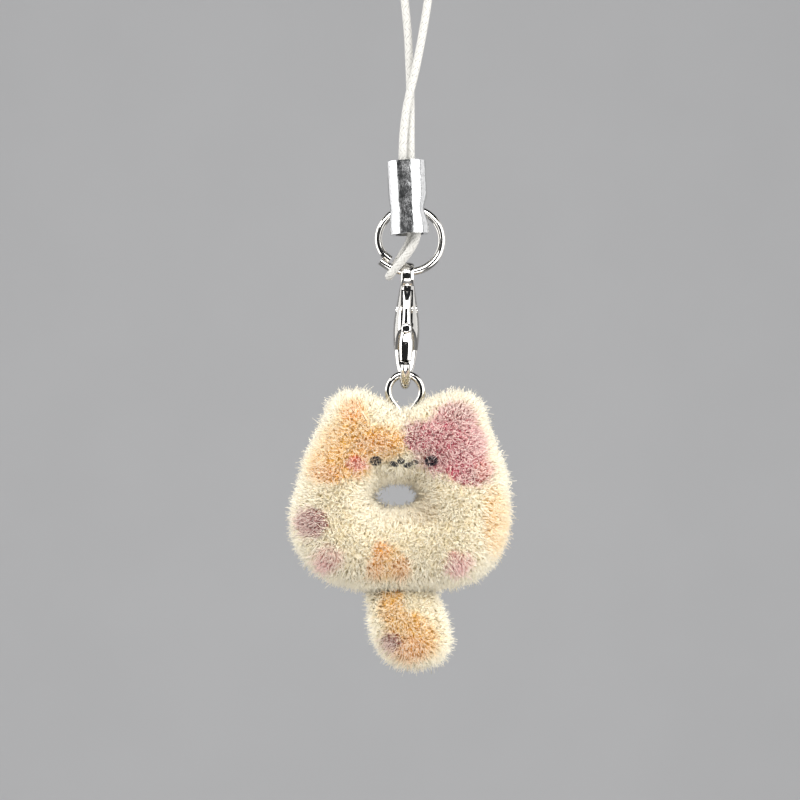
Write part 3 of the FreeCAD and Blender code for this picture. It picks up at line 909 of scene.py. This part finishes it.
@dataclass
class FlockCoat:
    """Fibres that stand on the moulded core and end near the CAD coat's skin.

    Attributes:
        name: start of the pieces' names.
        coat: the CAD node whose skin the fibres reach.
        cores: CAD nodes that the fibres stand on.
        wheel: how many pieces go round the cat's middle.
        seed: start of the random draws.
        density: fibres a square metre.
        thickness: thickness of the coat, in metres.
        near: least distance from skin to core, in thicknesses.
        far: most distance.
        facing: least share of that distance along the skin's normal.
        width: mean width of a fibre, in metres.
        width_range: thinnest and thickest fibre, in mean widths.
        tilt: how far the fibres lean at random.
        droop: how far they lean down.
        least_rise: least share of a fibre's length that goes straight up.
        long_share: share of long fibres.
        long_shape: shape and scale, in metres, of how far long fibres stand out.
        long_sink: what is taken off that.
        short_sink: mean and spread of how far short fibres stay back.
        lengths: shortest and longest fibre, in metres.
        tuft: fibres that gather into one tuft.
        clump: how far a tuft's tips draw together.
    """

    name: str
    coat: str
    cores: tuple[str, ...]
    wheel: int = 1
    seed: int = 7
    density: float = 80e6
    thickness: float = 0.0008
    near: float = 0.45
    far: float = 1.4
    facing: float = 0.5
    width: float = 0.000047
    width_range: tuple[float, float] = (0.75, 1.25)
    tilt: float = 0.50
    droop: float = 0.10
    least_rise: float = 0.45
    long_share: float = 0.36
    long_shape: tuple[float, float] = (2.0, 0.00012)
    long_sink: float = 0.00008
    short_sink: tuple[float, float] = (0.00020, 0.00012)
    lengths: tuple[float, float] = (0.0003, 0.0021)
    tuft: int = 9
    clump: float = 0.30

    def core_tree(self) -> BVHTree:
        """Gives a search tree over the cores' faces.

        Returns:
            The tree.
        """
        points, faces = [], []
        for name in self.cores:
            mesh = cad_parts[name].data
            start = len(points)
            points.extend(v.co.copy() for v in mesh.vertices)
            faces.extend([start + k for k in p.vertices] for p in mesh.polygons)
        return BVHTree.FromPolygons(points, faces)

    def skin_triangles(self) -> np.ndarray:
        """Reads the corners of the coat's triangles.

        Returns:
            The corners, n by 3 by 3.
        """
        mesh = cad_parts[self.coat].data
        mesh.calc_loop_triangles()
        places = np.empty(len(mesh.vertices) * 3)
        mesh.vertices.foreach_get("co", places)
        corners = np.empty(len(mesh.loop_triangles) * 3, np.int32)
        mesh.loop_triangles.foreach_get("vertices", corners)
        return places.reshape(-1, 3)[corners.reshape(-1, 3)]

    def scattered(self) -> tuple[np.ndarray, np.ndarray]:
        """Scatters places evenly over the coat's surface.

        Returns:
            The places and the surface's normals there.
        """
        rng = np.random.default_rng(self.seed)
        tris = self.skin_triangles()
        crossed = np.cross(tris[:, 1] - tris[:, 0], tris[:, 2] - tris[:, 0])
        areas = np.linalg.norm(crossed, axis=1) / 2
        normals = crossed / np.maximum(areas, 1e-15)[:, None] / 2
        count = int(areas.sum() * self.density)
        picked = rng.choice(len(tris), count, p=areas / areas.sum())
        a, b = rng.random((2, count, 1))
        a, b = np.where(a + b > 1, 1 - a, a), np.where(a + b > 1, 1 - b, b)
        first, second, third = (tris[picked, k] for k in range(3))
        return first + a * (second - first) + b * (third - first), normals[picked]

    def stand(self) -> tuple[np.ndarray, np.ndarray]:
        """Picks where fibres stand: where the coat's outer skin lies over a core.

        Returns:
            Their roots on the core, and the places on the skin above them.
        """
        core = self.core_tree()
        roots, skins = [], []
        for place, normal in zip(*self.scattered()):
            hit, _, _, away = core.find_nearest(Vector(place))
            clear = self.near * self.thickness < away < self.far * self.thickness
            if clear and Vector(normal).dot(Vector(place) - hit) > self.facing * away:
                roots.append(tuple(hit))
                skins.append(tuple(place))
        return np.array(roots), np.array(skins)

    def clumped(self, rng: np.random.Generator, skins: np.ndarray,
                tips: np.ndarray) -> np.ndarray:
        """Draws the fibres' tips together into small tufts.

        Args:
            rng: the random draws.
            skins: the places on the skin.
            tips: the fibres' tips.

        Returns:
            The tips' new places.
        """
        leaders = rng.choice(len(tips), len(tips) // self.tuft, replace=False)
        near = KDTree(len(leaders))
        for number, leader in enumerate(leaders):
            near.insert(skins[leader], number)
        near.balance()
        chosen = np.array([near.find(Vector(skin))[1] for skin in skins])
        pull = rng.uniform(0.2, 1.0, len(tips))[:, None] * self.clump
        return tips + (tips[leaders[chosen]] - tips) * pull

    def grown(self, rng: np.random.Generator, roots: np.ndarray,
              skins: np.ndarray) -> np.ndarray:
        """Works out each fibre's shape.

        Args:
            rng: the random draws.
            roots: the fibres' roots.
            skins: the places on the skin above them.

        Returns:
            Four corners a fibre, two at its root and two at its tip.
        """
        count = len(roots)
        up = unit(skins - roots)
        lean = rng.normal(0.0, self.tilt, (count, 3))
        lean -= up * (lean * up).sum(axis=1)[:, None]
        way = unit(up + lean - np.array([0.0, 0.0, self.droop]))
        rise = np.clip((way * up).sum(axis=1), self.least_rise, 1.0)
        proud = np.where(rng.random(count) < self.long_share,
                         rng.gamma(*self.long_shape, count) - self.long_sink,
                         rng.normal(-self.short_sink[0], self.short_sink[1], count))
        thick = np.linalg.norm(skins - roots, axis=1)
        length = np.clip((thick + proud) / rise, *self.lengths)
        tips = self.clumped(rng, skins, roots + way * length[:, None])
        way = unit(tips - roots)
        side = unit(np.cross(way, rng.normal(size=(count, 3))))
        other = np.cross(way, side)
        half = (self.width / 2 * rng.uniform(*self.width_range, count))[:, None]
        return np.stack([roots - side * half, roots + side * half,
                         tips - other * half, tips + other * half], axis=1)

    def sectors(self, roots: np.ndarray) -> np.ndarray:
        """Splits the fibres into sectors round the cat's middle.

        Args:
            roots: the fibres' roots.

        Returns:
            Each fibre's sector.
        """
        away = roots - np.array(CAT_CENTRE)
        turn = np.arctan2(away[:, 2], away[:, 0]) / (2 * math.pi) + 0.5
        return np.minimum((turn * self.wheel).astype(int), self.wheel - 1)

    def piece(self, name: str, points: np.ndarray, roots: np.ndarray, shade: np.ndarray,
              material: bpy.types.Material) -> None:
        """Makes one piece of fibres, each a closed wedge of four faces.

        Args:
            name: the piece's name.
            points: four corners a fibre.
            roots: the fibres' roots.
            shade: a random number a fibre.
            material: the fibres' material.
        """
        count = len(points)
        order = np.lexsort((roots[:, 0].round(4), roots[:, 2].round(4)))
        wedge = np.array([(0, 1, 2), (0, 3, 1), (0, 2, 3), (1, 3, 2)])
        faces = (wedge[None] + 4 * np.arange(count)[:, None, None]).reshape(-1, 3)
        mesh = mesh_from(name, points[order].reshape(-1, 3), faces)
        made = new_object(name, mesh)
        add_values(mesh, "root", np.repeat(roots[order], 4, axis=0))
        add_values(mesh, "along", np.tile([0.0, 0.0, 1.0, 1.0], count))
        add_values(mesh, "shade", np.repeat(shade[order], 4))
        # Every fibre has a square of its own in the flat layout
        cells = math.ceil(math.sqrt(count))
        cell = np.column_stack([np.arange(count) % cells, np.arange(count) // cells])
        corner = np.array([(0.1, 0.1), (0.9, 0.1), (0.1, 0.9), (0.9, 0.9)])
        flat = (cell[:, None, None, :] + corner[wedge][None]) / cells
        mesh.uv_layers.new(name="OFBake").data.foreach_set("uv", flat.astype(np.float32).ravel())
        mesh.materials.append(material)
        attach(made, "charm")
        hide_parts(self.coat)
        LOG.info("%s: %d fibres", name, count)

    def build(self, material: bpy.types.Material) -> None:
        """Builds the fibres, split into pieces that stay light.

        Args:
            material: the fibres' material.
        """
        roots, skins = self.stand()
        rng = np.random.default_rng(self.seed + 1)
        points = self.grown(rng, roots, skins)
        shade = rng.random(len(roots))
        sector = self.sectors(roots)
        for number in range(self.wheel):
            chosen = np.nonzero(sector == number)[0]
            self.piece(f"{self.name}_{number + 1}", points[chosen], roots[chosen],
                       shade[chosen], material)


@dataclass
class Cat:
    """The flocked cat: painted cores under a coat of fibres.

    Attributes:
        paint: the cores' finish.
        flock: the fibres' finish.
        cores: the CAD nodes that are painted.
        body: the fibres on the body.
        tail: the fibres on the tail.
    """

    paint: PaintedPlastic = field(default_factory=PaintedPlastic)
    flock: Flock = field(default_factory=Flock)
    cores: tuple[str, ...] = ("body_core_front", "body_core_back", "tail_core")
    body: FlockCoat = field(default_factory=lambda: FlockCoat(
        "body_flock", "body_coat", ("body_core_front", "body_core_back"), wheel=4))
    tail: FlockCoat = field(default_factory=lambda: FlockCoat(
        "tail_flock", "tail_coat", ("tail_core",), seed=19))

    def build(self, effects: Effects) -> None:
        """Paints the cores and grows the fibres.

        Args:
            effects: the shared node groups.
        """
        painted = self.paint.material(effects)
        for name in self.cores:
            finish_node(name, painted)
        fibres = self.flock.material(effects)
        self.body.build(fibres)
        self.tail.build(fibres)


@dataclass
class Hardware:
    """The strap's and the charm's metal pieces, which are the CAD nodes themselves.

    Attributes:
        nickel: finish of the ring, the clasp and the screw eye.
        steel: finish of the clasp's spring.
        aluminium: finish of the ferrule.
    """

    nickel: Metal = Metal("nickel_plate", colour=(0.70, 0.68, 0.645, 1.0),
                          roughness=(0.04, 0.14), grain=(3000.0, 3000.0, 3000.0),
                          relief=0.000003, dark=0.04)
    steel: Metal = Metal("spring_steel", colour=(0.72, 0.72, 0.72, 1.0),
                         roughness=(0.15, 0.35), grain=(6000.0, 6000.0, 6000.0),
                         relief=0.000004, dark=0.2)
    aluminium: Metal = Metal("rolled_aluminium", colour=(0.84, 0.842, 0.845, 1.0),
                             roughness=(0.15, 0.28), grain=(7000.0, 7000.0, 3500.0),
                             relief=0.000007, dark=0.32)

    def build(self, effects: Effects) -> None:
        """Finishes the metal nodes.

        Args:
            effects: the shared node groups.
        """
        nickel = self.nickel.material(effects)
        for name in ("jump_ring", "clasp_body", "clasp_lever", "clasp_rivet", "screw_eye"):
            finish_node(name, nickel)
        finish_node("clasp_spring", self.steel.material(effects))
        finish_node("ferrule", self.aluminium.material(effects))


@dataclass(frozen=True)
class Lamp:
    """A soft lamp that points at the object's middle.

    Attributes:
        name: its name.
        place: where it stands, in metres.
        size: its width and height.
        power: its strength in watts.
    """

    name: str
    place: Triple
    size: tuple[float, float]
    power: float

    def build(self, aim: Triple) -> None:
        """Adds the lamp.

        Args:
            aim: what it points at.
        """
        data = bpy.data.lights.new(self.name, "AREA")
        data.shape = "RECTANGLE"
        data.size, data.size_y = self.size
        data.energy = self.power
        made = bpy.data.objects.new(self.name, data)
        bpy.context.scene.collection.objects.link(made)
        made.location = self.place
        away = Vector(aim) - Vector(self.place)
        made.rotation_euler = away.to_track_quat("-Z", "Y").to_euler()


LAMPS = (
    Lamp("left_box", (-0.50, -0.03, 0.0), (0.46, 0.70), 3.1),
    Lamp("right_box", (0.41, -0.275, -0.02), (0.50, 0.70), 4.0),
    Lamp("left_back_box", (-0.34, 0.26, 0.0), (0.20, 0.60), 0.4),
    Lamp("right_back_box", (0.42, 0.20, 0.0), (0.40, 0.60), 0.7),
    Lamp("front_top_box", (-0.06, -0.42, 0.26), (0.44, 0.20), 3.5),
    Lamp("front_low_box", (-0.02, -0.42, -0.38), (0.48, 0.24), 1.3),
)


@dataclass
class Studio:
    """The camera, a plain pale sweep and soft lights.

    Attributes:
        backdrop: the sweep's colour.
        half: the sweep's half width, in metres.
        front: where its floor starts.
        depth: where its wall stands.
        floor: height of its floor.
        rise: height of its wall's top.
        bend: radius between floor and wall.
        bend_steps: parts of the bend.
        middle: what the lamps point at.
        sensor: width of the camera's sensor, in millimetres.
    """

    backdrop: Colour = srgb(200, 200, 201)
    half: float = 1.6
    front: float = -1.6
    depth: float = 0.80
    floor: float = -0.75
    rise: float = 1.0
    bend: float = 0.35
    bend_steps: int = 12
    middle: Triple = (0.0, 0.0, -0.06)
    sensor: float = 36.0

    def camera(self) -> None:
        """Puts the camera where the picture's was."""
        data = bpy.data.cameras.new("camera")
        data.sensor_width = self.sensor
        data.lens = self.sensor / 2 / math.tan(math.radians(CAMERA_ANGLE / 2))
        data.clip_start = 0.01
        made = bpy.data.objects.new("camera", data)
        bpy.context.scene.collection.objects.link(made)
        made.location = CAMERA_PLACE
        made.rotation_euler = (math.radians(90.0), 0.0, 0.0)
        bpy.context.scene.camera = made
        LOG.info("camera: %.0f mm from the cat", abs(CAMERA_PLACE[1] - CAT_CENTRE[1]) / MM)

    def sweep(self) -> None:
        """Makes the floor and the wall behind as one curved sheet."""
        profile = [(self.front, self.floor), (self.depth - self.bend, self.floor)]
        for step in range(1, self.bend_steps):
            turn = math.radians(90.0 * step / self.bend_steps)
            profile.append((self.depth - self.bend + self.bend * math.sin(turn),
                            self.floor + self.bend - self.bend * math.cos(turn)))
        profile += [(self.depth, self.floor + self.bend), (self.depth, self.rise)]
        rows = len(profile)
        points = np.array([(x, y, z) for x in (-self.half, self.half) for y, z in profile])
        faces = np.array([(k, k + rows, k + rows + 1, k + 1) for k in range(rows - 1)])
        mesh = mesh_from("sweep", points, faces)
        made = new_object("sweep", mesh)
        mesh.shade_smooth()
        mesh.materials.append(self.paper())
        made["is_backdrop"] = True

    def paper(self) -> bpy.types.Material:
        """Gives the sweep's material.

        Returns:
            The material.
        """
        made, sheet = new_material("sweep_paper")
        place = sheet.add("TexCoord").outputs["Object"]
        grain = sheet.add("TexNoise", {"Vector": place, "Scale": 25.0, "Detail": 2.0})
        share = sheet.ranged(grain.outputs["Fac"], 0.3, 0.7, 0.0, 0.02)
        colour = sheet.mixed(share, self.backdrop, (0.0, 0.0, 0.0, 1.0))
        sheet.close(sheet.add("BsdfPrincipled", {"Base Color": colour, "Roughness": 0.9}))
        return made

    def room(self) -> None:
        """Makes the dim room round the lamps."""
        world = bpy.data.worlds.new("room")
        world.use_nodes = True
        bpy.context.scene.world = world
        sheet = Sheet(world.node_tree)
        dim = sheet.add("Background", {"Color": (0.9, 0.95, 1.0, 1.0), "Strength": 0.03})
        sheet.add("OutputWorld", {"Surface": dim.outputs[0]})

    def build(self) -> None:
        """Builds the sweep, the lamps and the dim room."""
        self.sweep()
        for lamp in LAMPS:
            lamp.build(self.middle)
        self.room()
        LOG.info("studio: sweep, %d lamps and a dim room", len(LAMPS))


def record_size(size: dict[str, list], moment: str) -> None:
    """Args:
        size: the bounds so far, to which this adds.
        moment: the moment's name.
    """
    low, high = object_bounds()
    size[moment] = [[float(x) for x in low], [float(x) for x in high]]


def main() -> None:
    """Builds the scene, camera and cord first."""
    logging.basicConfig(level=logging.INFO, format="%(name)s %(message)s")
    size: dict[str, list] = {}
    record_size(size, "loaded")
    bpy.context.scene.view_settings.view_transform = "Standard"
    studio = Studio()
    studio.camera()
    StrapCord().build()
    effects = Effects.built()
    Hardware().build(effects)
    Cat().build(effects)
    studio.build()
    record_size(size, "finished")


if __name__ == "__main__":
    main()
